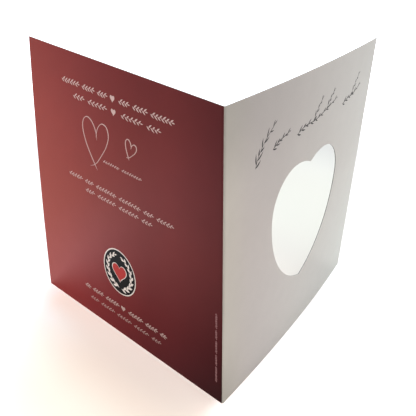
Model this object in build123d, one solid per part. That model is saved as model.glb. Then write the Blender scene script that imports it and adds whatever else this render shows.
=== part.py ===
from build123d import *
from math import acos, asin, cos, degrees, radians, sin, tan
import os

# A square greeting card: one sheet of coated board, creased and folded once, standing half
# open on its foot edges, with a heart cut right through its front panel.
# Lengths are in millimetres, angles in degrees.
# Origin: the foot of the fold, where the two outer faces would meet in a sharp corner.
# +Z runs up the fold. The front panel lies along +X and faces -Y. The back panel swings
# away behind it, and its outer face looks towards -X.

# The sheet
panel_width = 148.0          # fold to free edge, measured along the board
panel_height = 148.0
board_thickness = 0.35

# How it stands: the front panel's chord is along +X at half height
opening_angle = 76.8         # between the panels
front_bow_angle = 7.6        # turn of the front panel's face from the fold to its free edge
front_twist = 2.9            # turn of the front panel's chord from its head down to its foot
back_twist = 3.5             # the same for the back panel
back_belly_angle = 0.33      # how much further the back panel stands open at half height

# The fold
crease_reach = 0.8           # the fold's rounding takes this much of each panel
bead_rise = 0.2              # the crease's bead stands this far into the inner corner

# The heart window, drawn flat on the front panel
shoulder_radius = 21.4       # the two round shoulders
shoulder_offset = 14.2       # from the heart's axis to each shoulder's centre
shoulder_height = 83.2       # from the foot edge to the shoulders' centres
crown_radius = 31.0          # the flatter arcs that run in to the cleft
flank_radius = 51.0          # the long arcs that run down to the tip


def heading(angle):
    return Vector(cos(radians(angle)), sin(radians(angle)), 0)


def back_angle(share):
    """Where the back panel points at a share of the height."""
    belly = 4 * share * (1 - share)
    return opening_angle + back_twist * (0.5 - share) + back_belly_angle * belly


def front_chord_angle(share):
    """Where the front panel's chord points at a share of the height."""
    return front_twist * (0.5 - share)


def sheet_section(share):
    """The sheet's closed outline, seen from above, at a share of the height."""
    back_along = heading(back_angle(share))
    back_inward = heading(back_angle(share) - 90)
    leave_angle = front_chord_angle(share) - front_bow_angle / 2
    front_along = heading(leave_angle)
    front_inward = heading(leave_angle + 90)

    # back panel: flat across its width
    back_root = back_along * crease_reach
    back_root_inner = back_root + back_inward * board_thickness
    back_edge = back_along * panel_width
    back_edge_inner = back_edge + back_inward * board_thickness

    # front panel: one long arc that bellies outward, with the inner face round the same centre
    front_root = front_along * crease_reach
    front_root_inner = front_root + front_inward * board_thickness
    bow_radius = (panel_width - crease_reach) / radians(front_bow_angle)
    bow_centre = front_root + front_inward * bow_radius
    inner_bow_radius = bow_radius - board_thickness
    spoke_to_middle = heading(leave_angle - 90 + front_bow_angle / 2)
    spoke_to_edge = heading(leave_angle - 90 + front_bow_angle)
    front_middle = bow_centre + spoke_to_middle * bow_radius
    front_middle_inner = bow_centre + spoke_to_middle * inner_bow_radius
    front_edge = bow_centre + spoke_to_edge * bow_radius
    front_edge_inner = bow_centre + spoke_to_edge * inner_bow_radius

    # fold: an arc tangent to both outer faces, and the crease's bead in the inner corner
    half_fold_angle = (back_angle(share) - leave_angle) / 2
    bisector = heading(leave_angle + half_fold_angle)
    fold_radius = crease_reach * tan(radians(half_fold_angle))
    fold_centre = bisector * (crease_reach / cos(radians(half_fold_angle)))
    fold_crown = fold_centre - bisector * fold_radius
    bead_crown = (front_root_inner + back_root_inner) / 2 + bisector * bead_rise

    outline = [
        Line(back_edge, back_root),
        ThreePointArc(back_root, fold_crown, front_root),
        ThreePointArc(front_root, front_middle, front_edge),
        Line(front_edge, front_edge_inner),
        ThreePointArc(front_edge_inner, front_middle_inner, front_root_inner),
        ThreePointArc(front_root_inner, bead_crown, back_root_inner),
        Line(back_root_inner, back_edge_inner),
        Line(back_edge_inner, back_edge),
    ]
    return Pos(0, 0, share * panel_height) * make_face(outline)


def heart_outline():
    """The heart, its axis on x = 0 and its heights measured from the foot edge."""
    # crown arc: tangent to the shoulder at the shoulder's top, running in to the axis
    crown_centre_height = shoulder_height + shoulder_radius - crown_radius
    crown_turn = degrees(asin(shoulder_offset / crown_radius))
    # flank arc: tangent to the shoulder at its widest point, running down to the axis
    flank_centre = shoulder_offset + shoulder_radius - flank_radius
    flank_turn = degrees(acos(-flank_centre / flank_radius))
    right_half = [
        CenterArc((shoulder_offset, crown_centre_height), crown_radius, 90 + crown_turn, -crown_turn),
        CenterArc((shoulder_offset, shoulder_height), shoulder_radius, 90, -90),
        CenterArc((flank_centre, shoulder_height), flank_radius, 0, -flank_turn),
    ]
    left_half = [mirror(arc, about=Plane.YZ) for arc in right_half]
    return make_face(right_half + left_half)


def heart_cutter():
    """The heart as a prism square to the front panel's chord, long enough to pass its bow."""
    steepest_angle = front_bow_angle + front_twist
    cutter_reach = board_thickness + panel_width * sin(radians(steepest_angle))
    across_panel = Plane(origin=(panel_width / 2, 0, 0), x_dir=(1, 0, 0), z_dir=(0, -1, 0))
    return extrude(across_panel * heart_outline(), amount=cutter_reach, both=True)


def folded_sheet():
    """Both panels and the fold, drawn through the foot, half height and the head."""
    return loft([sheet_section(0), sheet_section(0.5), sheet_section(1)])


folded_card = folded_sheet() - heart_cutter()

os.makedirs("parts", exist_ok=True)
export_step(folded_card, "parts/folded_card.step")
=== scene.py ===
from math import acos, asin, atan2, cos, degrees, pi, radians, sin, tan

import bmesh
import bpy
from mathutils import Matrix, Vector


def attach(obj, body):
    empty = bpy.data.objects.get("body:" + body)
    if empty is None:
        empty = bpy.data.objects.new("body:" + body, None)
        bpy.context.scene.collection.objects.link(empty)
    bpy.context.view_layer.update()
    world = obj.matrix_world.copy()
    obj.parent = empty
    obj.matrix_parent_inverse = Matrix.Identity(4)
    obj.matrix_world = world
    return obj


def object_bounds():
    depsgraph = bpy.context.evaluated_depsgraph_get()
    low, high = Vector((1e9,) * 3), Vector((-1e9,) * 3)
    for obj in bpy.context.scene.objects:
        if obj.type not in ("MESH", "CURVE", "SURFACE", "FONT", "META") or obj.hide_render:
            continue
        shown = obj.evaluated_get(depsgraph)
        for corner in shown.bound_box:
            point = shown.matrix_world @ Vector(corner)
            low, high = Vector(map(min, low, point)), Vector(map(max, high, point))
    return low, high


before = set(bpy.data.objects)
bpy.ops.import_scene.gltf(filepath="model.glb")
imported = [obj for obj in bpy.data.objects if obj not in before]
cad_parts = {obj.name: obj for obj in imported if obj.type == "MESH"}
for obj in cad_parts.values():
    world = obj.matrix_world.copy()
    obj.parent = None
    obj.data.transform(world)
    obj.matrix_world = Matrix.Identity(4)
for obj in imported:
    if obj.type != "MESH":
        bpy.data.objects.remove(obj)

# A square greeting card on a white table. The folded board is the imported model's own solid.
# This script adds the printed faces, the print on them, the finishes, the table, the lights
# and the camera. Sizes are in millimetres and degrees until a mesh is made.

cadLow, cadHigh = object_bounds()
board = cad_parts["folded_card"]
mm = 0.001
crispFrom = 30.0               # faces that meet at more than this angle keep a crisp edge
hair = 1e-9                    # too little to matter

# how the board stands: the height comes from the frame, the rest repeats the board's design
standing = {
    "height": (cadHigh.z - cadLow.z) / mm,
    "width": 148.0,            # of one panel, from the fold to its free edge
    "opening": 76.8,           # between the panels
    "frontBow": 7.6,           # turn of the front face from the fold to its free edge
    "frontTwist": 2.9,         # turn of the front panel from its head down to its foot
    "backTwist": 3.5,          # the same for the back panel
    "backBelly": 0.33,         # how much further the back panel stands open at half height
    "creaseReach": 0.8,        # the fold's rounding takes this much of each panel
    "inkTurn": 0.3,            # the front page's colour runs this far round the fold's crown
}

# the heart window, as the board's design cuts it: three arcs on each side of its axis
heart = {
    "axis": 74.0,              # from the fold
    "shoulderRadius": 21.4,
    "shoulderOffset": 14.2,    # from the axis to each shoulder's centre
    "shoulderHeight": 83.2,    # from the foot to the shoulders' centres
    "crownRadius": 31.0,       # the flatter arcs that run in to the cleft
    "flankRadius": 51.0,       # the long arcs that run down to the tip
    "arcSteps": 20,
}


def heading(angle):
    return cos(radians(angle)), sin(radians(angle))


def along(start, direction, distance):
    return start[0] + direction[0] * distance, start[1] + direction[1] * distance


def between(start, end, share):
    return start[0] + (end[0] - start[0]) * share, start[1] + (end[1] - start[1]) * share


def evenly(start, end, count):
    return [start + (end - start) * i / count for i in range(count + 1)]


# where the back panel points, and where the front face leaves the fold, at a height
def panelAngles(height):
    share = height / standing["height"]
    back = standing["opening"] + standing["backTwist"] * (0.5 - share)
    back += standing["backBelly"] * 4 * share * (1 - share)
    front = standing["frontTwist"] * (0.5 - share) - standing["frontBow"] / 2
    return back, front


# the front face's arc at a height: radius, centre, and the heading of its first spoke
def frontArc(height):
    leave = panelAngles(height)[1]
    reach = standing["creaseReach"]
    radius = (standing["width"] - reach) / radians(standing["frontBow"])
    root = along((0, 0), heading(leave), reach)
    return radius, along(root, heading(leave + 90), radius), leave - 90


# the fold's rounding: turn is -1 where it meets the back panel, 0 at its crown, 1 at the front
def onFold(height, turn, lift):
    back, leave = panelAngles(height)
    half = (back - leave) / 2
    reach = standing["creaseReach"]
    centre = along((0, 0), heading(leave + half), reach / cos(radians(half)))
    spoke = heading(leave + half - 180 + turn * (90 - half))
    return along(centre, spoke, reach * tan(radians(half)) + lift)


# A page spot is read from outside the card: across from the left, down from the head.
def onFront(across, down, lift=0.0):
    height = standing["height"] - down
    reach = standing["creaseReach"]
    if across < reach:
        x, y = onFold(height, across / reach, lift)
    else:
        radius, centre, start = frontArc(height)
        spoke = heading(start + degrees((across - reach) / radius))
        x, y = along(centre, spoke, radius + lift)
    return Vector((x, y, height)) * mm


def onBack(across, down, lift=0.0):
    height = standing["height"] - down
    reach = standing["creaseReach"]
    fromFold = standing["width"] - across
    if fromFold < reach:
        x, y = onFold(height, -fromFold / reach, lift)
    else:
        back = panelAngles(height)[0]
        x, y = along(along((0, 0), heading(back), fromFold), heading(back + 90), lift)
    return Vector((x, y, height)) * mm


# how far across the front page a point of the straight-cut heart lies
def acrossFront(x, height):
    radius, centre, start = frontArc(height)
    turn = -degrees(acos((x - centre[0]) / radius)) - start
    return standing["creaseReach"] + radians(turn) * radius


# Makes a closed thin piece from flat page faces. Each spot is (across, down) or has a third
# number, what it rises above the rest. sheet is the layer's underside and top above the board.
def layerPiece(name, page, spots, faces, sheet, finish):
    low, high = sheet
    rises = [spot[2] if len(spot) > 2 else 0.0 for spot in spots]
    points = [page(spot[0], spot[1], high + rise) for spot, rise in zip(spots, rises)]
    points += [page(spot[0], spot[1], low) for spot in spots]
    count = len(spots)
    sides = {}                 # every side of every face; one that no neighbour shares is a rim
    for face in faces:
        for start, end in zip(face, face[1:] + face[:1]):
            sides[(start, end)] = True
    rims = [(a, b, b + count, a + count) for a, b in sides if (b, a) not in sides]
    unders = [tuple(i + count for i in reversed(face)) for face in faces]
    mesh = bpy.data.meshes.new(name)
    mesh.from_pydata(points, [], [tuple(face) for face in faces] + unders + rims)
    places = mesh.uv_layers.new(name="page")
    for loop in mesh.loops:
        spot = spots[loop.vertex_index % count]
        places.data[loop.index].uv = (spot[0] / standing["width"], 1 - spot[1] / standing["height"])
    shaper = bmesh.new()
    shaper.from_mesh(mesh)
    bmesh.ops.recalc_face_normals(shaper, faces=shaper.faces)
    shaper.to_mesh(mesh)
    shaper.free()
    mesh.shade_smooth()
    mesh.set_sharp_from_angle(angle=radians(crispFrom))
    mesh.materials.append(finish)
    piece = bpy.data.objects.new(name, mesh)
    bpy.context.scene.collection.objects.link(piece)
    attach(piece, "root")


print("finishes")
noiseReach = (0.3, 0.7)        # noise keeps mostly between these
bumpNoise = (3, 0.6)           # the detail and roughness of fine bumps


# a small helper around a node tree
class Nodes:
    def __init__(self, tree):
        self.tree = tree

    def node(self, kind, **settings):
        made = self.tree.nodes.new("ShaderNode" + kind)
        for name, value in settings.items():
            setattr(made, name, value)
        return made

    def link(self, start, end):
        self.tree.links.new(start, end)

    def math(self, operation, first, second=0.5):
        made = self.node("Math", operation=operation)
        for socket, value in zip(made.inputs, (first, second)):
            if isinstance(value, (int, float)):
                socket.default_value = value
            else:
                self.link(value, socket)
        return made.outputs[0]

    def blend(self, share, first, second, kind="MIX"):
        made = self.node("Mix", data_type="RGBA", blend_type=kind)
        sockets = (made.inputs[0], made.inputs[6], made.inputs[7])
        for socket, value in zip(sockets, (share, first, second)):
            if isinstance(value, (int, float)):
                socket.default_value = value
            elif isinstance(value, tuple):
                socket.default_value = (*value, 1)
            else:
                self.link(value, socket)
        return made.outputs[2]

    # stops are (place, colour), in order, with a soft curve through the colours
    def ramp(self, value, stops):
        made = self.node("ValToRGB")
        elements = made.color_ramp.elements
        elements[0].position, elements[1].position = stops[0][0], stops[-1][0]
        elements[0].color, elements[1].color = (*stops[0][1], 1), (*stops[-1][1], 1)
        for place, colour in stops[1:-1]:
            elements.new(place).color = (*colour, 1)
        made.color_ramp.interpolation = "CARDINAL"
        self.link(value, made.inputs[0])
        return made.outputs[0]

    def span(self, value, low, high, toLow=0.0, toHigh=1.0, kind="LINEAR"):
        made = self.node("MapRange", interpolation_type=kind)
        for socket, setting in zip(made.inputs[1:5], (low, high, toLow, toHigh)):
            socket.default_value = setting
        self.link(value, made.inputs[0])
        return made.outputs[0]

    def spread(self, value, low, high, toLow=0.0, toHigh=1.0):
        return self.span(value, low, high, toLow, toHigh, "SMOOTHSTEP")

    # Lets a share come in over some stretches. Each names a place and says where the share is
    # nothing and where it is full there. It is smooth, unless it names another kind.
    def rise(self, places, stretches, share=1.0):
        for name, start, end, *named in stretches:
            kind = named[0] if named else "SMOOTHSTEP"
            share = self.math("MULTIPLY", share, self.span(places[name], start, end, kind=kind))
        return share

    # a number measured from a vector socket, by itself or against a fixed vector
    def measure(self, operation, socket, fixed=(0, 0, 0)):
        made = self.node("VectorMath", operation=operation)
        self.link(socket, made.inputs[0])
        made.inputs[1].default_value = fixed
        return made.outputs["Value"]

    # how far a vector socket reaches along a level direction
    def against(self, socket, direction):
        return self.measure("DOT_PRODUCT", socket, (*direction, 0))

    # 1 for what the camera sees, also in gloss or through glass, and 0 for light on its way
    def seen(self):
        path = self.node("LightPath")
        share = self.math("MAXIMUM", path.outputs["Is Camera Ray"], path.outputs["Is Glossy Ray"])
        return self.math("MAXIMUM", share, path.outputs["Is Transmission Ray"])


# one material
class Finish(Nodes):
    def __init__(self, name):
        self.material = bpy.data.materials.new(name)
        self.material.use_nodes = True
        super().__init__(self.material.node_tree)
        self.surface = self.tree.nodes["Principled BSDF"]

    # noise over the object itself; size is that of one speckle
    def speckle(self, size, detail, roughness=0.5, stretch=(1, 1, 1)):
        scaled = self.node("Mapping")
        scaled.inputs["Scale"].default_value = stretch
        self.link(self.node("TexCoord").outputs["Object"], scaled.inputs["Vector"])
        noise = self.node("TexNoise")
        noise.inputs["Scale"].default_value = 1 / (size * mm)
        noise.inputs["Detail"].default_value = detail
        noise.inputs["Roughness"].default_value = roughness
        self.link(scaled.outputs[0], noise.inputs["Vector"])
        return noise.outputs["Fac"]

    # an uneven cover between the least and 1
    def mottle(self, size, detail, least, roughness=0.5, stretch=(1, 1, 1)):
        return self.spread(self.speckle(size, detail, roughness, stretch), *noiseReach, least, 1.0)

    # where on the page, from the left and up from the foot, each from 0 to 1
    def pagePlaces(self):
        parts = self.node("SeparateXYZ")
        self.link(self.node("UVMap", uv_map="page").outputs[0], parts.inputs[0])
        return {"across": parts.outputs[0], "up": parts.outputs[1]}

    # Takes shades off a tone. What a shade takes is one share of it, or two, at the page's left
    # and at its right.
    def shaded(self, tone, places, shades):
        for shade in shades.values():
            lost = shade["lost"]
            if isinstance(lost, tuple):
                lost = self.span(places["across"], 0.0, 1.0, *lost)
            lost = self.rise(places, shade["rises"], lost)
            tone = self.blend(1.0, tone, self.math("SUBTRACT", 1.0, lost), "MULTIPLY")
        return tone

    # covers a tone with one mottle after another
    def mottled(self, tone, patterns):
        for pattern in patterns:
            tone = self.blend(1.0, tone, self.mottle(*pattern), "MULTIPLY")
        return tone

    # the surface's colour, gloss and, where the plan has them, fine bumps
    def paint(self, tone, plan):
        self.link(tone, self.surface.inputs["Base Color"])
        self.surface.inputs["Roughness"].default_value = plan["roughness"]
        self.surface.inputs["Specular IOR Level"].default_value = plan["shine"]
        if "bumps" in plan:
            size, height = plan["bumps"]
            bump = self.node("Bump")
            bump.inputs["Distance"].default_value = height * mm
            self.link(self.speckle(size, *bumpNoise), bump.inputs["Height"])
            self.link(bump.outputs["Normal"], self.surface.inputs["Normal"])


# the board itself: white coated faces, and darker cut edges with the core's fibres; their darkness is
# partly painted shade
coatedBoard = {
    "coating": (0.80, 0.795, 0.785),
    # the core's colour, darkened with painted shade
    "coreAndShade": (0.40, 0.395, 0.385),
    "windowCutShade": (0.20, 0.195, 0.19),   # painted shade: the window's cut edge is darker still
    "windowReach": 46.0,       # all of the window's cut lies this near its middle
    "panelSplit": 38.0,        # the heading that parts the two panels
    "coatedFrom": 0.6,         # how squarely a coated face looks out of its panel; less is an edge
    "mottle": (0.5, 3, 0.97),  # speckle size, noise detail and the least that shows
    "fibres": (0.09, 4, 0.86, 0.7, (1, 1, 3)),   # the same, with the noise's roughness and stretch
    "bumps": (0.12, 0.004),    # size and height
    "roughness": 0.5,
    "shine": 0.3,
}


def boardFinish():
    made = Finish("coated_board")
    plan = coatedBoard
    geometry = made.node("NewGeometry")
    place, normal = geometry.outputs["Position"], geometry.outputs["True Normal"]
    onBackFace = made.math("ABSOLUTE", made.against(normal, heading(standing["opening"] - 90)))
    onFrontFace = made.math("ABSOLUTE", made.against(normal, heading(-90)))
    isBack = made.math("GREATER_THAN", made.against(place, heading(plan["panelSplit"] + 90)), 0.0)
    square = made.node("Mix", data_type="FLOAT")
    for socket, value in ((0, isBack), (2, onFrontFace), (3, onBackFace)):
        made.link(value, square.inputs[socket])
    isCoated = made.math("GREATER_THAN", square.outputs[0], plan["coatedFrom"])
    middle = Vector((heart["axis"], 0, standing["height"] / 2)) * mm
    fromWindow = made.measure("DISTANCE", place, middle)
    isWindow = made.math("LESS_THAN", fromWindow, plan["windowReach"] * mm)
    cut = made.mottled(made.blend(isWindow, plan["coreAndShade"], plan["windowCutShade"]), [plan["fibres"]])
    coating = made.mottled(plan["coating"], [plan["mottle"]])
    made.paint(made.blend(isCoated, cut, coating), plan)
    return made.material


# The red field over the whole back page. It deepens towards the fold, most of all at its foot; in part
# that is painted shade.
# Places on a page are shares of it: across from its left, up from its foot.
redField = {
    "margin": 0.02,            # to the cut edges
    "sheet": (-0.03, 0.06),    # its underside and top, measured from the board's face
    "columns": 74,
    "foldColumns": 8,
    "rows": 74,
    "inks": [                  # where across the page, and the ink there
        (0.0, (0.264, 0.0296, 0.0203)),
        (0.3, (0.213, 0.0224, 0.0184)),
        (0.6, (0.153, 0.0159, 0.0145)),
        (0.8, (0.136, 0.0161, 0.0158)),
        (1.0, (0.0916, 0.0105, 0.0116)),
    ],
    "footTint": (1.07, 1.13, 1.57),      # the foot is a little more crimson
    "footStretch": (0.5, 0.0),           # how high up the page that starts, and where it is full
    # painted shade: darker at the foot, most of all by the fold, and at the head
    "shades": {
        "foot": {"lost": 0.746, "rises": [("up", 0.5, 0.0, "LINEAR"), ("nearFold", 0.0, 1.0, "LINEAR")]},
        "head": {"lost": 0.112, "rises": [("up", 0.72, 1.0)]},
    },
    "foldPower": 2.0,          # how steeply the foot's shade grows towards the fold
    # a painted sheen, warm, above a line that slants up to the fold; it fades towards the page's head
    "paintedSheen": (0.0993, 0.0545, 0.045),
    "paintedSheenEdge": (0.105, 0.0645, 0.066),  # its colour down to that line
    "edgeStretch": (0.284, 0.0),         # how far above it that starts, and where it is full
    "sheenSlant": 0.882,        # how far up the fold the line ends
    "sheenSoft": (0.002, 0.396),          # how softly it fades across the line, left and right
    "sheenRises": [("overLine", -1.84, 0.816), ("up", 1.05, 0.0)],
    # painted shade: a thin dark line beside the fold
    "creasePlace": 0.9922,
    "creaseShades": {"line": {"lost": 0.26, "rises": [("fromCrease", 0.0045, 0.0)]}},
    "mottle": [(9, 3, 0.97), (0.16, 2, 0.96)],
    "bumps": (0.3, 0.003),
    "roughness": 0.42,
    "shine": 0.03,
}


def redFinish():
    made = Finish("red_print")
    plan = redField
    places = made.pagePlaces()
    across, up = places["across"], places["up"]
    above = made.math("SUBTRACT", up, made.math("MULTIPLY", across, plan["sheenSlant"]))
    softness = made.span(across, 0.0, 1.0, *plan["sheenSoft"])
    places["nearFold"] = made.math("POWER", across, plan["foldPower"])
    places["overLine"] = made.math("DIVIDE", above, softness)
    places["fromCrease"] = made.math("ABSOLUTE", made.math("SUBTRACT", across, plan["creasePlace"]))
    tint = made.blend(made.span(up, *plan["footStretch"]), (1, 1, 1), plan["footTint"])
    tone = made.blend(1.0, made.ramp(across, plan["inks"]), tint, "MULTIPLY")
    tone = made.shaded(tone, places, plan["shades"])
    paintedSheen = made.blend(made.span(above, *plan["edgeStretch"]), plan["paintedSheen"], plan["paintedSheenEdge"])
    paintedSheen = made.blend(1.0, paintedSheen, made.rise(places, plan["sheenRises"]), "MULTIPLY")
    tone = made.blend(1.0, tone, paintedSheen, "ADD")
    tone = made.shaded(tone, places, plan["creaseShades"])
    made.paint(made.mottled(tone, plan["mottle"]), plan)
    return made.material


def redPage():
    plan = redField
    width, height, reach = standing["width"], standing["height"], standing["creaseReach"]
    margin = plan["margin"]
    flat = evenly(margin, width - reach, plan["columns"])
    fold = evenly(width - reach, width - standing["inkTurn"], plan["foldColumns"])
    acrossSteps = flat + fold[1:]
    downSteps = evenly(margin, height - margin, plan["rows"])
    spots = [(across, down) for down in downSteps for across in acrossSteps]
    wide = len(acrossSteps)
    faces = []
    for j in range(len(downSteps) - 1):
        for i in range(wide - 1):
            corner = j * wide + i
            faces.append((corner, corner + wide, corner + wide + 1, corner + 1))
    layerPiece("back_printed_face", onBack, spots, faces, plan["sheet"], redFinish())


# the pale warm field over the whole front page, round the heart. Its lightening towards the free edge is
# partly painted light; its lighter foot and its shades are painted light and shade.
paleField = {
    "margin": 0.02,            # to the cut edges
    "heartMargin": 0.03,       # to the window's edge
    "sheet": (-0.03, 0.06),
    "rings": 26,               # from the window out to the page's border
    "foldColumns": 8,
    "edgeSteps": 48,           # along each side of the page
    "inks": [                  # where across the page, and the tint there
        (0.0, (0.588, 0.547, 0.490)),
        (0.14, (0.573, 0.523, 0.500)),
        (0.5, (0.601, 0.563, 0.535)),
        (1.0, (0.617, 0.598, 0.566)),
    ],
    "footTint": (1.095, 1.142, 1.157),   # the foot is a little cooler and lighter: painted light
    "footStretch": (0.575, 0.03),        # how high up the page that starts, and where it is full
    "slant": 0.685,            # of the line under the heart
    "shades": {
        # painted shade at the head, most by the fold
        "head": {"lost": (0.271, 0.142), "rises": [("up", 0.7, 1.0)]},
        # painted shade: a soft belt across the page at the heart's shoulders
        "belt": {
            "lost": 0.093,
            "rises": [("up", 0.5, 0.733), ("up", 1.05, 0.733), ("across", 0.0, 0.28)],
        },
        # painted shade and light: the foot darkens by the fold and lightens by the free edge
        "foot": {"lost": (0.1765, -0.069), "rises": [("up", 0.62, 0.0, "LINEAR")]},
        # painted shade in the corner at the fold's foot
        "foldFoot": {"lost": 0.143, "rises": [("across", 0.13, 0.0), ("up", 0.25, 0.05)]},
        # painted shade below a line that slants down to the free edge, under the heart
        "underLine": {
            "lost": 0.12,
            "rises": [
                ("slanted", 0.7026, 0.6252), ("up", -0.05, 0.05),
                ("across", 0.3, 0.85), ("across", 0.97, 0.88),
            ],
        },
        # painted shade along the fold
        "crease": {"lost": 0.15, "rises": [("across", 0.012, 0.0), ("up", 0.1, 0.45)]},
    },
    "mottle": [(7, 3, 0.98), (0.2, 3, 0.965)],
    "bumps": (0.25, 0.004),
    "roughness": 0.5,
    "shine": 0.15,
}


def paleFinish():
    made = Finish("pale_print")
    plan = paleField
    places = made.pagePlaces()
    across, up = places["across"], places["up"]
    places["slanted"] = made.math("ADD", up, made.math("MULTIPLY", across, plan["slant"]))
    tint = made.blend(made.span(up, *plan["footStretch"]), (1, 1, 1), plan["footTint"])
    tone = made.blend(1.0, made.ramp(across, plan["inks"]), tint, "MULTIPLY")
    tone = made.shaded(tone, places, plan["shades"])
    made.paint(made.mottled(tone, plan["mottle"]), plan)
    return made.material


# the heart's outline from the cleft, down its right side to the tip and up the left
def heartOutline():
    offset, height = heart["shoulderOffset"], heart["shoulderHeight"]
    shoulder, crown, flank = heart["shoulderRadius"], heart["crownRadius"], heart["flankRadius"]
    crownTurn = degrees(asin(offset / crown))
    flankReach = offset + shoulder - flank
    flankTurn = degrees(acos(-flankReach / flank))
    arcs = [
        ((offset, height + shoulder - crown), crown, 90 + crownTurn, 90),
        ((offset, height), shoulder, 90, 0),
        ((flankReach, height), flank, 0, -flankTurn),
    ]
    right = []
    for centre, radius, start, end in arcs:
        for turn in evenly(start, end, heart["arcSteps"])[:-1]:
            right.append(along(centre, heading(turn), radius))
    tip = (0, height - flank * sin(radians(flankTurn)))
    left = [(-x, y) for x, y in reversed(right[1:])]
    return right + [tip] + left


# where a straight line from the middle towards a spot crosses a closed outline
def spokeMeets(middle, spot, outline):
    dx, dy = spot[0] - middle[0], spot[1] - middle[1]
    furthest = 0.0
    for (ax, ay), (bx, by) in zip(outline, outline[1:] + outline[:1]):
        ex, ey = bx - ax, by - ay
        cross = dx * ey - dy * ex
        if abs(cross) < hair:
            continue
        outward = ((ax - middle[0]) * ey - (ay - middle[1]) * ex) / cross
        share = ((ax - middle[0]) * dy - (ay - middle[1]) * dx) / cross
        if -hair <= share <= 1 + hair:
            furthest = max(furthest, outward)
    return between(middle, spot, furthest)


# The front page is made in rings, from the window out to the page's border, and its left side
# goes on round the fold.
def palePage():
    plan = paleField
    width, height, reach = standing["width"], standing["height"], standing["creaseReach"]
    margin, count = plan["margin"], plan["edgeSteps"]
    left, right, top, bottom = reach, width - margin, margin, height - margin
    corners = [(left, top), (right, top), (right, bottom), (left, bottom)]
    border = []
    for start, end in zip(corners, corners[1:] + corners[:1]):
        border += [between(start, end, i / count) for i in range(count)]
    middle = (heart["axis"], height - heart["shoulderHeight"] + heart["shoulderRadius"] / 2)
    outline = [(acrossFront(heart["axis"] + x, up), height - up) for x, up in heartOutline()]
    hole = [spokeMeets(middle, spot, outline) for spot in border]
    spots, faces = [], []
    for ring in range(plan["rings"] + 1):
        for inner, outer in zip(hole, border):
            away = Vector(outer) - Vector(inner)
            start = Vector(inner) + away.normalized() * plan["heartMargin"]
            spots.append(between(start, outer, ring / plan["rings"]))
    around = len(border)
    for ring in range(plan["rings"]):
        for i in range(around):
            a, b = ring * around + i, ring * around + (i + 1) % around
            faces.append((a, b, b + around, a + around))
    # the border's fourth side is the left one, from the foot up to the head
    lastRing = plan["rings"] * around
    leftSide = [lastRing + (3 * count + i) % around for i in range(count + 1)]
    before = leftSide
    for across in evenly(reach, -standing["inkTurn"], plan["foldColumns"])[1:]:
        first = len(spots)
        spots += [(across, spots[i][1]) for i in leftSide]
        column = list(range(first, first + count + 1))
        for i in range(count):
            faces.append((before[i], before[i + 1], column[i + 1], column[i]))
        before = column
    layerPiece("front_printed_face", onFront, spots, faces, plan["sheet"], paleFinish())


print("board and printed faces")
board.data.materials.clear()
board.data.materials.append(boardFinish())
redPage()
palePage()


print("print")
inkSheet = (0.05, 0.075)       # underside and top of the ink, on top of the printed faces

# what every ink has unless it says otherwise
inkLook = {
    "roughness": 0.5,
    "shine": 0.08,
    "cover": (0.12, 3, 0.6),   # speckle size, noise detail and roughness
    "coverFrom": (0.25, 0.6),  # in the noise: where the ink is most worn, and where it is whole
    "worn": 0.9,
    "footStretch": (0.08, 0.26),         # how far up the page the painted shade at the foot reaches
    "footShade": 0.0,
}
inks = {
    "blush_ink": {"colour": (0.57, 0.41, 0.38), "footShade": 0.17},
    "faded_blush_ink": {"colour": (0.36, 0.185, 0.19)},
    "black_ink": {"colour": (0.005, 0.004, 0.005), "roughness": 0.45, "shine": 0.04},
    "white_ink": {"colour": (0.78, 0.71, 0.67)},
    "red_ink": {"colour": (0.42, 0.028, 0.026), "roughness": 0.45},
    "brush_ink": {"colour": (0.050, 0.045, 0.047), "roughness": 0.6, "worn": 0.8},
}


# an ink that covers unevenly, and may darken with painted shade towards the foot of the page
def inkFinish(name):
    made = Finish(name)
    plan = {**inkLook, **inks[name]}
    cover = made.spread(made.speckle(*plan["cover"]), *plan["coverFrom"], plan["worn"], 1.0)
    footShaded = made.spread(made.pagePlaces()["up"], *plan["footStretch"], 1 - plan["footShade"], 1.0)
    tone = made.blend(1.0, plan["colour"], made.math("MULTIPLY", cover, footShaded), "MULTIPLY")
    made.paint(tone, plan)
    return made.material


inkFinishes = {name: inkFinish(name) for name in inks}

# how a flat nib draws
pen = {
    "taper": 0.12,             # the share of a stroke over which each end narrows
    "ease": 0.6,               # how roundly it narrows
    "thinnestEnd": 0.4,        # what is left at the very end, of the nib's thinnest line
    "rise": 0.02,              # a stroke climbs this much, so that it can cross itself
}


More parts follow.
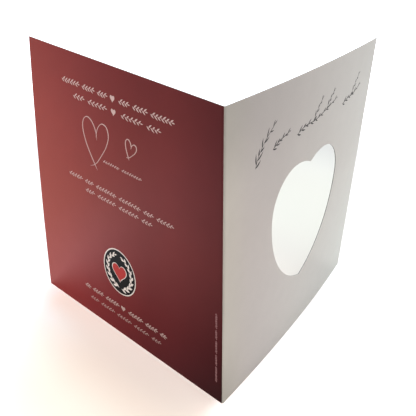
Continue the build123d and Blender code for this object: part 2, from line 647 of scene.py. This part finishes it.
# Collects flat shapes and strokes of one ink on one page.
class Ink:
    def __init__(self, page):
        self.page, self.spots, self.faces = page, [], []

    def patch(self, outline, rise=0.0):
        first = len(self.spots)
        self.spots += [(x, y, rise) for x, y in outline]
        self.faces.append(tuple(range(first, first + len(outline))))

    def ring(self, inner, outer):
        first, count = len(self.spots), len(inner)
        self.spots += [(x, y, 0.0) for x, y in inner + outer]
        for i in range(count):
            j = (i + 1) % count
            self.faces.append((first + i, first + j, first + count + j, first + count + i))

    # a filled shape in rings about its middle, so that it lies close to a bent page
    def field(self, outline, middle, rings):
        first, count = len(self.spots), len(outline)
        self.patch([between(middle, spot, 1 / rings) for spot in outline])
        for ring in range(2, rings + 1):
            self.spots += [(*between(middle, spot, ring / rings), 0.0) for spot in outline]
        for inner in range(first, first + (rings - 1) * count, count):
            for i in range(count):
                j = (i + 1) % count
                self.faces.append((inner + j, inner + i, inner + count + i, inner + count + j))

    # a line drawn with a flat nib: wide across the nib's edge, thin along it
    def stroke(self, points, nib, base=0.0, taper=pen["taper"], rise=pen["rise"]):
        widest, thinnest, nibAngle = nib
        lengths = [0.0]
        for before, after in zip(points, points[1:]):
            lengths.append(lengths[-1] + (Vector(after) - Vector(before)).length)
        first, last = len(self.spots), len(points) - 1
        for i, (x, y) in enumerate(points):
            ahead = Vector(points[min(i + 1, last)]) - Vector(points[max(i - 1, 0)])
            direction = atan2(-ahead.y, ahead.x)
            share = lengths[i] / lengths[-1]
            press = min(1.0, min(share, 1 - share) / taper) ** pen["ease"]
            width = thinnest + (widest - thinnest) * abs(sin(direction - radians(nibAngle)))
            half = max(width * press, thinnest * pen["thinnestEnd"]) / 2
            side = Vector((-ahead.y, ahead.x)).normalized() * half
            up = base + rise * share
            self.spots += [(x + side.x, y + side.y, up), (x - side.x, y - side.y, up)]
        for i in range(last):
            corner = first + 2 * i
            self.faces.append((corner, corner + 1, corner + 3, corner + 2))

    def lay(self, name, ink, sheet=inkSheet):
        layerPiece(name, self.page, self.spots, self.faces, sheet, inkFinishes[ink])


# turns a small shape and sets it on the page; the shape's own y runs up
def setDown(shape, place, turn=0.0, size=1.0):
    c, s = cos(radians(turn)) * size, sin(radians(turn)) * size
    return [(place[0] + x * c - y * s, place[1] - x * s - y * c) for x, y in shape]


# how every sprig grows
sprigForm = {
    "leafSteps": 8,
    "fullness": 0.8,           # below 1 a leaf is widest beyond its middle
    "firstLeaf": 0.15,         # where in its stretch of stem a pair's first leaf stands
    "stemTaper": 0.06,
    "stemRise": 0.004,
    "leafRises": (0.008, 0.012),         # the leaves on each side, above the stem's foot
    "tipRise": 0.016,
    "tipSize": 0.8,            # the leaf at the end, of a leaf beside it
}


# a leaf with its stalk end at the origin, pointing along x and bending aside towards its tip
def leafShape(length, width, bend=0.0):
    upper, lower = [], []
    for i in range(1, sprigForm["leafSteps"]):
        share = i / sprigForm["leafSteps"]
        half = width / 2 * sin(pi * share ** sprigForm["fullness"])
        aside = bend * length * share ** 2
        upper.append((length * share, aside + half))
        lower.append((length * share, aside - half))
    return [(0, 0)] + upper + [(length, bend * length)] + lower[::-1]


# a small heart, one unit wide, its middle near the origin
def heartShape(steps):
    points = []
    for i in range(steps):
        t = 2 * pi * i / steps
        y = (13 * cos(t) - 5 * cos(2 * t) - 2 * cos(3 * t) - cos(4 * t)) / 32
        points.append((sin(t) ** 3 / 2, y))
    return points


# a smooth line through given knots
def flow(knots, steps=12):
    ends = [knots[0]] + list(knots) + [knots[-1]]
    points = []
    for a, b, c, d in zip(ends, ends[1:], ends[2:], ends[3:]):
        for i in range(steps):
            t = i / steps
            near, far = (1 - t) ** 2 * t, t ** 2 * (1 - t)
            end = 3 * t ** 2 - 2 * t ** 3
            spot = []
            for k in (0, 1):
                bend = (near * (c[k] - a[k]) - far * (d[k] - b[k])) / 2
                spot.append((1 - end) * b[k] + end * c[k] + bend)
            points.append(tuple(spot))
    return points + [knots[-1]]


# a spot on a line of points and where the line heads there
def partWay(line, share):
    at = share * (len(line) - 1)
    i = min(int(at), len(line) - 2)
    step = Vector(line[i + 1]) - Vector(line[i])
    return between(line[i], line[i + 1], at - i), degrees(atan2(-step.y, step.x))


# A stem with leaves by turns to both sides, smaller towards its tip, and a leaf at the end. Their
# lengths and leans differ by a fixed pattern that comes round every five and every four pairs.
def sprig(ink, line, plan, count, base=0.0):
    form = sprigForm
    ink.stroke(line, plan["nib"], base, form["stemTaper"], form["stemRise"])
    length, width = plan["leaf"]
    slips = (form["firstLeaf"], form["firstLeaf"] + plan["slip"])
    for i in range(count):
        size = 1 - plan["shrink"] * i / count
        for side, slip, rise in zip((-1, 1), slips, form["leafRises"]):
            spot, angle = partWay(line, (i + slip) / count)
            longer = 1 + plan["uneven"] * ((i * 7 + side * 3) % 5 - 2) / 2
            leaf = leafShape(length * longer, width, -side * plan["bend"])
            lean = plan["lean"] + plan["sway"] * ((i * 3 + side) % 4 - 1.5)
            ink.patch(setDown(leaf, spot, angle + side * lean, size), base + rise)
    tip, angle = partWay(line, 1.0)
    size = form["tipSize"] * (1 - plan["shrink"])
    ink.patch(setDown(leafShape(length, width), tip, angle, size), base + form["tipRise"])


# Lines of leafy sprigs on the back page. A line is a row of words: each word is one sprig with
# that number of leaf pairs, and 0 stands for a small heart.
verses = {
    "head_verse": {
        "ink": "blush_ink", "leaf": (2.4, 0.69), "nib": (0.28, 0.28, 0),
        "lines": [
            {"start": (30.8, 14.6), "length": 86.7, "words": (6, 4, 3, 0, 3, 4, 6)},
            {"start": (40.5, 20.8), "length": 68.0, "words": (3, 5, 0, 5, 3)},
        ],
    },
    "seed_line": {
        "ink": "blush_ink", "leaf": (1.25, 0.46), "nib": (0.18, 0.18, 0),
        "lines": [{"start": (63.6, 47.8), "length": 30.2, "words": (7, 8)}],
    },
    "second_verse": {
        "ink": "blush_ink", "leaf": (2.0, 0.58), "nib": (0.24, 0.24, 0),
        "lines": [
            {"start": (31.8, 63.6), "length": 84.0, "words": (5, 3, 7, 7, 3, 5)},
            {"start": (46.4, 68.6), "length": 53.8, "words": (3, 6, 6, 3)},
        ],
    },
    "foot_verse": {
        "ink": "blush_ink", "leaf": (2.35, 0.78), "nib": (0.32, 0.32, 0),
        "lines": [{"start": (38.6, 130.0), "length": 69.2, "words": (2, 4, 5, 0, 5, 4, 2)}],
    },
    "foot_light_verse": {
        "ink": "blush_ink", "leaf": (2.0, 0.5), "nib": (0.2, 0.2, 0),
        "lines": [{"start": (43.0, 136.4), "length": 60.4, "words": (3, 5, 5, 5, 3)}],
    },
    "makers_line": {
        "ink": "faded_blush_ink", "leaf": (1.0, 0.4), "nib": (0.14, 0.14, 0),
        "lines": [{"start": (143.8, 136.6), "turn": 90, "length": 40.2, "words": (9, 6, 7, 5, 8)}],
    },
}
# Lean is a leaf's angle to its stem, and slip is how much further along a pair's second leaf
# stands. Lengths along a line are counted in leaf pairs.
verseLook = {
    "lean": 40.0, "slip": 0.45, "bend": 0.1, "shrink": 0.0, "uneven": 0.16, "sway": 0.0,
    "wordGap": 1.1,
    "stemShort": 0.3,          # a stem ends this much before its word does
    "heartRoom": 1.5,
    "heartSize": 1.5,          # in leaf lengths
    "heartSteps": 28,
}


def verse(name, plan):
    ink = Ink(onBack)
    look = {**verseLook, **plan}
    for line in plan["lines"]:
        rooms = [word or look["heartRoom"] for word in line["words"]]
        pitch = line["length"] / (sum(rooms) + (len(rooms) - 1) * look["wordGap"])
        direction = heading(-line.get("turn", 0))
        travelled = 0.0
        for word, room in zip(line["words"], rooms):
            start = along(line["start"], direction, travelled)
            if word:
                end = along(start, direction, (room - look["stemShort"]) * pitch)
                sprig(ink, [start, end], look, word)
            else:
                middle = along(start, direction, room / 2 * pitch)
                size = look["heartSize"] * look["leaf"][0]
                ink.patch(setDown(heartShape(look["heartSteps"]), middle, size=size))
            travelled += (room + look["wordGap"]) * pitch
    ink.lay(name, plan["ink"])


# two hearts, each drawn in two pen strokes about its own middle
penHearts = {
    "ink": "blush_ink",
    "leftStroke": [
        (0.9, -1.4), (0.5, -5.4), (-2.1, -9.6), (-6.1, -11.4), (-9.7, -9.4), (-10.9, -4.8),
        (-9.1, 1.2), (-5.9, 6.6), (-2.5, 11.2), (-0.1, 14.4),
    ],
    "rightStroke": [
        (0.2, -2.6), (2.1, -7.6), (5.7, -10.8), (9.7, -10.0), (10.9, -5.6), (8.5, 0.0),
        (4.5, 5.2), (0.7, 9.6), (-2.5, 12.2), (-5.9, 13.6),
    ],
    "overRise": 0.024,         # the right stroke lies this much higher, across the left one
    "hearts": [                # middle, turn, size and nib
        ((58.5, 40.0), 0.0, 1.0, (0.62, 0.24, 35.0)),
        ((86.6, 35.6), -14.0, 0.38, (0.6, 0.26, 35.0)),
    ],
}


def penDrawing():
    plan = penHearts
    ink = Ink(onBack)
    for middle, turn, size, nib in plan["hearts"]:
        for stroke, base in (("leftStroke", 0.0), ("rightStroke", plan["overRise"])):
            upright = [(x, -y) for x, y in flow(plan[stroke])]
            ink.stroke(setDown(upright, middle, turn, size), nib, base)
    ink.lay("pen_hearts", plan["ink"])


# the round emblem: a white ring on black, a wreath of two sprigs and a red heart
emblem = {
    "middle": (72.0, 107.5),
    "radius": 13.5,
    "ringWidth": 0.62,
    "sides": 96,
    "discRings": 6,
    "wreathRadius": 9.9,
    "wreathEnds": (-84.0, 74.0),         # of the right sprig; the left one mirrors it
    "wreathSteps": 40,
    "wreath": {
        "leaf": (3.5, 1.4), "nib": (0.4, 0.4, 0), "lean": 32.0, "slip": 0.4, "bend": 0.08,
        "shrink": 0.25, "uneven": 0.0, "sway": 0.0, "leaves": 8,
    },
    "heartSize": 11.4,
    "heartRim": 0.5,           # the white line round the heart
    "heartSteps": 48,
    "heartRings": 3,
    # underside and top of each part above the board's face
    "discSheet": (0.05, 0.07),
    "ringSheet": (0.05, 0.078),
    "wreathSheet": (0.06, 0.08),
    "rimSheet": (0.06, 0.078),
    "heartSheet": (0.06, 0.086),
}


def circle(middle, radius, sides, start=0.0, end=360.0):
    return [along(middle, heading(-turn), radius) for turn in evenly(start, end, sides)[:-1]]


def roundEmblem():
    plan = emblem
    middle, sides = plan["middle"], plan["sides"]
    inner = circle(middle, plan["radius"] - plan["ringWidth"], sides)
    disc = Ink(onBack)
    disc.field(inner, middle, plan["discRings"])
    disc.lay("emblem_disc", "black_ink", plan["discSheet"])
    ring = Ink(onBack)
    ring.ring(inner, circle(middle, plan["radius"], sides))
    ring.lay("emblem_ring", "white_ink", plan["ringSheet"])
    wreath = Ink(onBack)
    low, high = plan["wreathEnds"]
    for start, end in ((low, high), (180 - low, 180 - high)):
        stem = circle(middle, plan["wreathRadius"], plan["wreathSteps"], start, end)
        sprig(wreath, stem, plan["wreath"], plan["wreath"]["leaves"])
    wreath.lay("emblem_wreath", "white_ink", plan["wreathSheet"])
    hearts = [
        ("emblem_heart_rim", "white_ink", plan["heartSize"] + 2 * plan["heartRim"], plan["rimSheet"]),
        ("emblem_heart", "red_ink", plan["heartSize"], plan["heartSheet"]),
    ]
    for name, colour, size, sheet in hearts:
        ink = Ink(onBack)
        outline = setDown(heartShape(plan["heartSteps"]), middle, size=size)
        ink.field(outline, middle, plan["heartRings"])
        ink.lay(name, colour, sheet)


# the brushed sprigs above the heart window: a tall one, then three along a line, with side shoots
brushed = {
    "ink": "brush_ink",
    "look": {
        "nib": (0.50, 0.24, 52.0), "lean": 36.0, "slip": 0.5, "bend": 0.16, "shrink": 0.35,
        "uneven": 0.2, "sway": 5.0,
    },
    "overRise": 0.004,         # every second sprig lies this much higher
    "sprigs": [
        {
            "stem": [(21.6, 32.4), (23.8, 27.4), (28.4, 22.0), (35.4, 16.6)],
            "leaf": (4.8, 0.86), "leaves": 5,
        },
        {"stem": [(35.0, 28.0), (40.0, 25.6), (48.4, 23.8)], "leaf": (3.4, 0.7), "leaves": 4},
        {
            "stem": [(56.4, 27.6), (64.0, 25.6), (74.0, 25.6), (85.0, 23.6), (97.0, 20.8)],
            "leaf": (3.7, 0.8), "leaves": 8,
        },
        {"stem": [(72.6, 25.6), (76.0, 20.8), (80.6, 16.4)], "leaf": (2.9, 0.68), "leaves": 3},
        {"stem": [(86.4, 23.3), (89.6, 19.2), (94.0, 15.8)], "leaf": (2.7, 0.66), "leaves": 3},
        {
            "stem": [(106.8, 26.4), (113.0, 24.8), (120.6, 24.2), (129.4, 21.4)],
            "leaf": (3.4, 0.74), "leaves": 5,
        },
        {"stem": [(118.6, 24.4), (122.0, 19.4), (126.6, 14.8)], "leaf": (2.8, 0.66), "leaves": 3},
    ],
}


def brushSprigs():
    plan = brushed
    ink = Ink(onFront)
    for number, one in enumerate(plan["sprigs"]):
        base = plan["overRise"] * (number % 2)
        sprig(ink, flow(one["stem"]), {**plan["look"], **one}, one["leaves"], base)
    ink.lay("brushed_sprigs", plan["ink"])


for verseName, versePlan in verses.items():
    verse(verseName, versePlan)
penDrawing()
roundEmblem()
brushSprigs()


print("table and light")
table = {
    "reach": 2500.0,
    "drop": 0.01,              # clear of the foot edges
    "roughness": 0.9,
    "shine": 0.0,
    "colours": [               # how far it lies in front of the back page, and the colour there: painted shade, grey-green behind the card and warm where the back page's shadow and red bounce lie, then white
        (-310.0, (0.632, 0.644, 0.636)),
        (-268.0, (0.704, 0.720, 0.694)),
        (-230.0, (0.719, 0.733, 0.694)),
        (-165.0, (0.721, 0.734, 0.695)),
        (-120.0, (0.750, 0.736, 0.706)),
        (-30.0, (0.89, 0.83, 0.78)),
        (12.0, (1.0, 0.887, 0.799)),
        (60.0, (0.963, 0.848, 0.73)),
        (120.0, (1.0, 1.0, 1.0)),
    ],
    "rightward": 110.0,        # the headings against which two of the glows are measured
    "leftward": -13.8,
    # Painted light that only the camera and reflections see on top, so that the bare table turns white
    # away from the card; near the card it lifts the shadow on some sides and paints the back page's red
    # bounce and a light line along its foot. Each glow and the stretches over which it comes in.
    "glows": {
        "pageBounce": {"colour": (0.117, 0.080, 0.074), "rises": [("page", 18, 2), ("page", -1, 0)]},
        "footLine": {"colour": (0.09, 0.08, 0.07), "rises": [("page", 2.6, 0.6), ("page", -1, 0)]},
        "front": {"colour": (0.46, 0.48, 0.54), "rises": [("y", 8, -5), ("x", -22, 6)]},
        "besideEdge": {"colour": (0.26, 0.52, 0.69), "rises": [("y", 69, 204), ("page", 4.7, 22)]},
        "beyondEdge": {"colour": (0.25, 0.30, 0.40), "rises": [("y", 124.6, 154)]},
        "leftSide": {"colour": (0.063, 0.129, 0.138), "rises": [("leftward", -25, -55)]},
        "rightSide": {"colour": (0.30, 0.30, 0.35), "rises": [("rightward", -35, -46)]},
        "distance": {"colour": (0.80, 0.80, 0.80), "rises": [("reach", 350, 470)]},
    },
}


def tableFinish():
    made = Finish("white_table")
    scaled = made.node("VectorMath", operation="SCALE")
    made.link(made.node("NewGeometry").outputs["Position"], scaled.inputs[0])
    scaled.inputs["Scale"].default_value = 1 / mm
    place = scaled.outputs["Vector"]
    places = {
        "x": made.against(place, (1, 0)),
        "y": made.against(place, (0, 1)),
        "rightward": made.against(place, heading(table["rightward"])),
        "leftward": made.against(place, heading(table["leftward"])),
        "page": made.against(place, heading(panelAngles(0)[0] + 90)),
        "reach": made.measure("LENGTH", place),
    }
    first, last = table["colours"][0][0], table["colours"][-1][0]
    stops = [((spot - first) / (last - first), colour) for spot, colour in table["colours"]]
    made.paint(made.ramp(made.span(places["page"], first, last), stops), table)
    seen = made.seen()
    total = (0, 0, 0)
    for glow in table["glows"].values():
        share = made.rise(places, glow["rises"], seen)
        total = made.blend(1.0, total, made.blend(share, (0, 0, 0), glow["colour"]), "ADD")
    made.link(total, made.surface.inputs["Emission Color"])
    made.surface.inputs["Emission Strength"].default_value = 1.0
    return made.material


def makeTable():
    reach = table["reach"] * mm
    mesh = bpy.data.meshes.new("table")
    corners = [(-reach, -reach), (reach, -reach), (reach, reach), (-reach, reach)]
    mesh.from_pydata([(x, y, -table["drop"] * mm) for x, y in corners], [], [(0, 1, 2, 3)])
    mesh.materials.append(tableFinish())
    piece = bpy.data.objects.new("table", mesh)
    bpy.context.scene.collection.objects.link(piece)


lights = {
    "sky": 0.25,               # what the white room gives; the camera sees it at full white
    "suns": {
        "overhead": {"from": (-0.07, -0.05, 1.0), "level": 2.72, "softness": 66.0},
        "side": {"from": (1.0, -0.02, 1.2), "level": 0.48, "softness": 40.0},
    },
    "softboxes": {
        "left_softbox": {"place": (-330, 330, 90), "aim": (20, 110, 40), "size": 180, "power": 0.3},
        "right_softbox": {"place": (400, -250, 90), "aim": (130, 0, 30), "size": 180, "power": 0.3},
    },
}


def makeRoom():
    world = bpy.data.worlds.new("white_room")
    world.use_nodes = True
    bpy.context.scene.world = world
    room = Nodes(world.node_tree)
    back = room.tree.nodes["Background"]
    back.inputs["Color"].default_value = (1, 1, 1, 1)
    room.link(room.span(room.seen(), 0.0, 1.0, lights["sky"], 1.0), back.inputs["Strength"])


# away is the direction from what the lamp lights to the lamp
def hangLamp(lamp, place, away):
    piece = bpy.data.objects.new(lamp.name, lamp)
    piece.location = place
    piece.rotation_mode = "QUATERNION"
    piece.rotation_quaternion = away.to_track_quat("Z", "Y")
    piece.visible_camera = False
    bpy.context.scene.collection.objects.link(piece)


def makeLamps():
    for name, plan in lights["suns"].items():
        lamp = bpy.data.lights.new(name, "SUN")
        lamp.energy = plan["level"]
        lamp.angle = radians(plan["softness"])
        hangLamp(lamp, Vector(plan["from"]), Vector(plan["from"]))
    for name, plan in lights["softboxes"].items():
        lamp = bpy.data.lights.new(name, "AREA")
        lamp.energy = plan["power"]
        lamp.size = plan["size"] * mm
        place = Vector(plan["place"]) * mm
        hangLamp(lamp, place, place - Vector(plan["aim"]) * mm)


makeTable()
makeRoom()
makeLamps()


print("camera")
# where the photographer stood
camera = {
    "azimuth": -60.332,
    "elevation": 29.479,
    "roll": 1.776,
    "distance": 249.69,
    "aside": 10.29,            # the aimed point, right of the fold and above the table
    "height": 96.27,
    "focalPixels": 615.36,
    "centrePixel": (249.11, 231.13),
    "imagePixels": 416,
    "sensor": 36.0,
    "nearest": 10.0,           # nothing nearer than this is drawn
}


def makeCamera():
    plan = camera
    azimuth, elevation = radians(plan["azimuth"]), radians(plan["elevation"])
    back = Vector((sin(azimuth) * cos(elevation), -cos(azimuth) * cos(elevation), sin(elevation)))
    right = (-back).cross(Vector((0, 0, 1))).normalized()
    up = right.cross(-back)
    turned = Matrix.Rotation(-radians(plan["roll"]), 3, -back)
    place = right * plan["aside"] + Vector((0, 0, plan["height"])) + back * plan["distance"]
    axes = Matrix((turned @ right, turned @ up, back)).transposed()
    lens = bpy.data.cameras.new("camera")
    lens.sensor_width = plan["sensor"]
    lens.lens = plan["focalPixels"] / plan["imagePixels"] * plan["sensor"]
    centreX, centreY = plan["centrePixel"]
    half = plan["imagePixels"] / 2
    lens.shift_x = (half - centreX) / plan["imagePixels"]
    lens.shift_y = (centreY - half) / plan["imagePixels"]
    lens.clip_start = plan["nearest"] * mm
    piece = bpy.data.objects.new("camera", lens)
    piece.matrix_world = Matrix.Translation(place * mm) @ axes.to_4x4()
    bpy.context.scene.collection.objects.link(piece)
    bpy.context.scene.camera = piece


makeCamera()
bpy.context.scene.view_settings.view_transform = "Standard"
